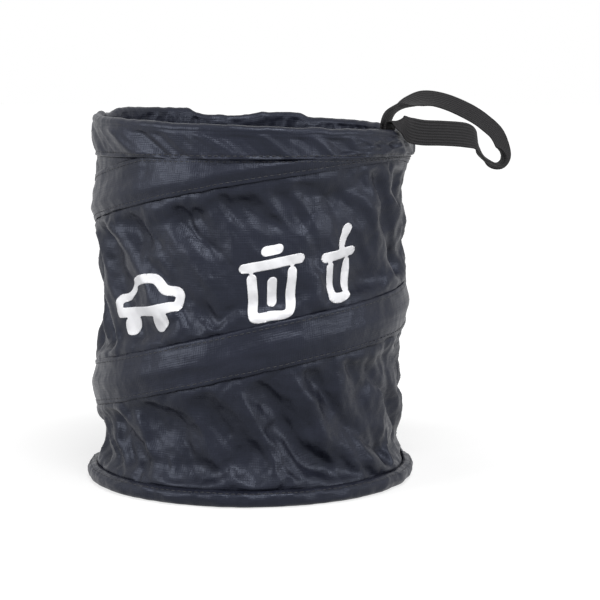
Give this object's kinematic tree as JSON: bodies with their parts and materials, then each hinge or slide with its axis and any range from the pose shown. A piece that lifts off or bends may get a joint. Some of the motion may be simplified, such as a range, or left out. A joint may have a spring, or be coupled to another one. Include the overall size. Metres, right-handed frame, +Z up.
{
  "type": "car trash bin",
  "caption": "Pop-up round fabric car bin on a spring wire spiral, with a soft open top, a flat base and an elastic hanging loop.",
  "frame": {"origin": "centre of the round base on its underside", "axes": "+Z up out of the open top, +X towards the hanging loop, the printed side faces -Y"},
  "size_m": [0.2082, 0.16, 0.1877],
  "materials": {
    "wall_fabric": "satin",
    "casing_fabric": "satin",
    "panel_fabric": "satin",
    "spring_steel": "drawn",
    "crimp_metal": "plain",
    "strap_elastic": "matte",
    "white_print": "matte"
  },
  "bodies": {
    "base": {"base_panel": "panel_fabric", "base_casing": "casing_fabric", "wall_fabric": "wall_fabric", "spiral_casing": "casing_fabric", "spring_wire": "spring_steel", "base_wire_sleeve": "crimp_metal", "printed_mark": "white_print"},
    "rim": {"rim_casing": "casing_fabric", "rim_wire_sleeve": "crimp_metal", "hanging_strap": "strap_elastic"}
  },
  "joints": [
    {"name": "collapse", "type": "slide", "parent": "base", "child": "rim", "axis": [0, 0, 1], "range_m": [-0.14, 0], "stiffness_N_per_m": 28, "springref_m": 0.035, "deforming": ["wall_fabric", "spiral_casing", "spring_wire", "printed_mark"]}
  ]
}
